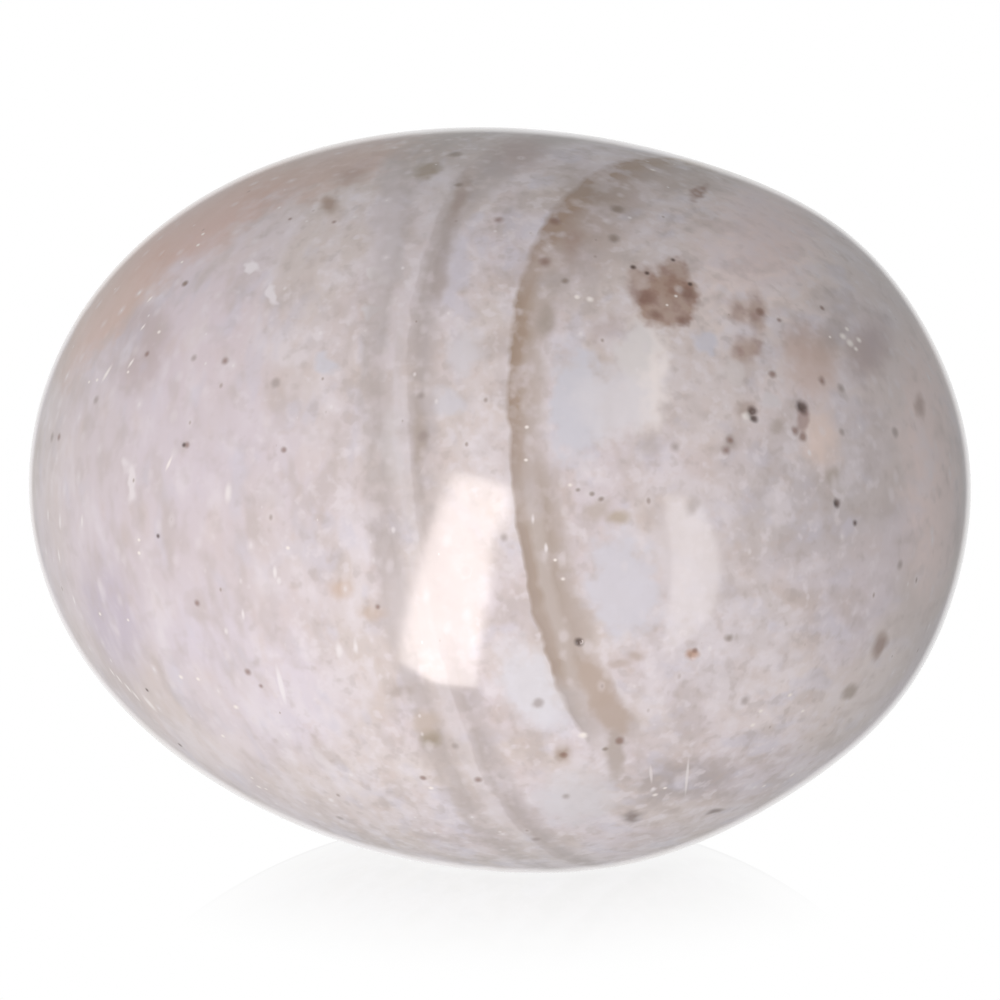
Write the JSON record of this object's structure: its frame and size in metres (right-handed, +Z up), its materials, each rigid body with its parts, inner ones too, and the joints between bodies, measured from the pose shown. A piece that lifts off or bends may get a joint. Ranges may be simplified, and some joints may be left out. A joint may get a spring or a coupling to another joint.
{
  "type": "tumbled banded agate",
  "caption": "Polished egg-shaped tumbled stone with softly worn flats and curved grey-brown bands; rests on a small worn foot.",
  "frame": {"origin": "bottom centre of the stone's box, in the plane of the worn foot that it rests on", "axes": "+Z up, +X along the length toward the thick end, -Y toward the front that the picture shows"},
  "size_m": [0.032, 0.0278, 0.0247],
  "materials": {
    "agate": "polished"
  },
  "bodies": {
    "root": {"stone": "agate"}
  },
  "joints": []
}
